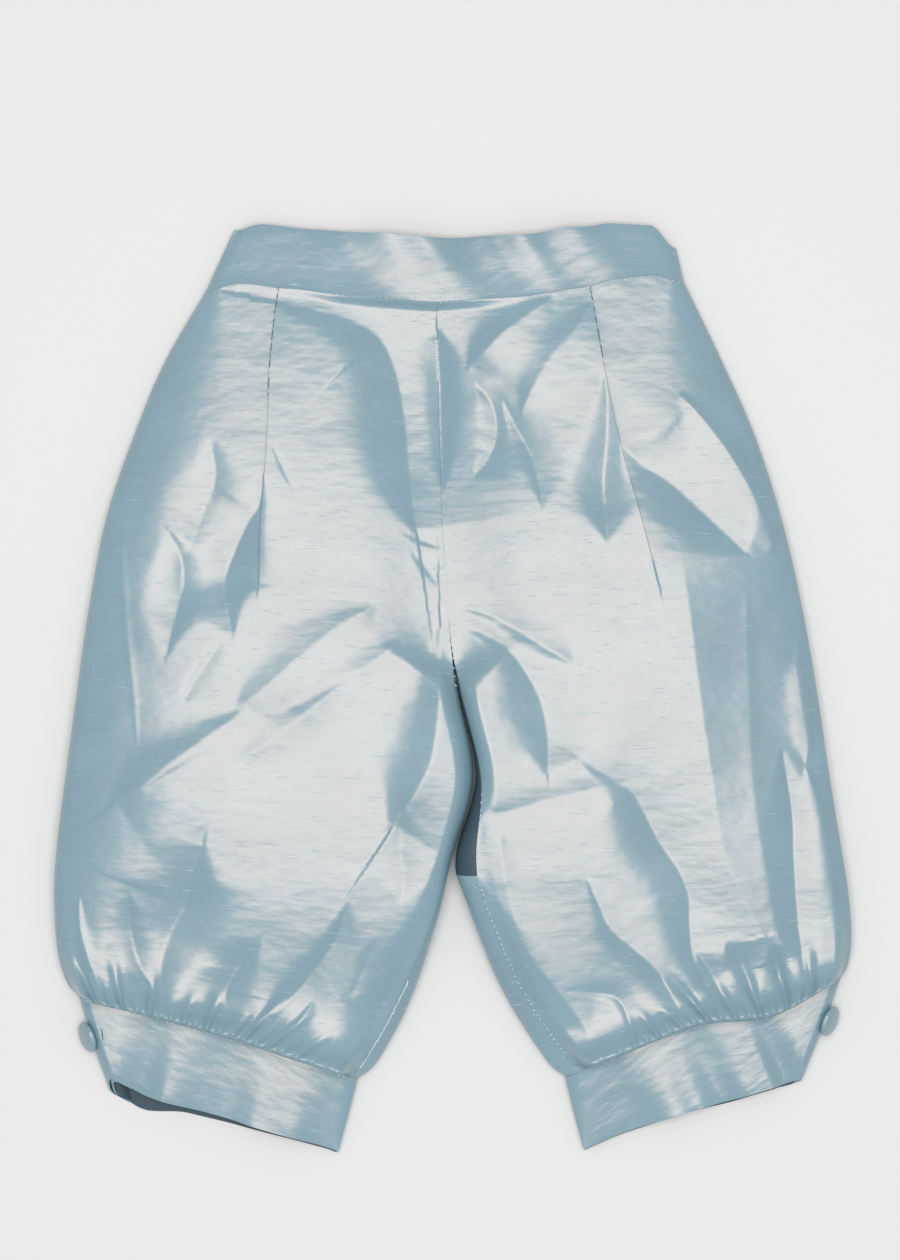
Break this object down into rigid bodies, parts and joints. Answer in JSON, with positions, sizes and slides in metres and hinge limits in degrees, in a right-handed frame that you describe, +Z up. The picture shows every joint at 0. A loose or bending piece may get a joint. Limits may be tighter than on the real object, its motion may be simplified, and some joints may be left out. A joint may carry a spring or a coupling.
{
  "type": "knee breeches",
  "caption": "Child's pale blue silk knee breeches laid flat: waistband, pleated fronts, full legs gathered into buttoned cuffs.",
  "frame": {"origin": "the middle of the outline, on the surface that the garment lies on", "axes": "+Y from the cuffs to the waist, +X to the wearer's left, +Z up through the front of the garment"},
  "size_m": [0.4308, 0.5036, 0.0332],
  "materials": {
    "silk": "pale blue slubbed silk with a bright sheen",
    "band_silk": "the same silk, stiffened and smooth",
    "button_silk": "the same silk stretched over a button"
  },
  "bodies": {
    "root": {"waistband_front": "band_silk", "waistband_back": "band_silk", "front_right": "silk", "front_left": "silk", "back_right": "silk", "back_left": "silk", "cuff_right": "band_silk", "cuff_left": "band_silk", "button_right": "button_silk", "button_left": "button_silk"}
  },
  "joints": []
}
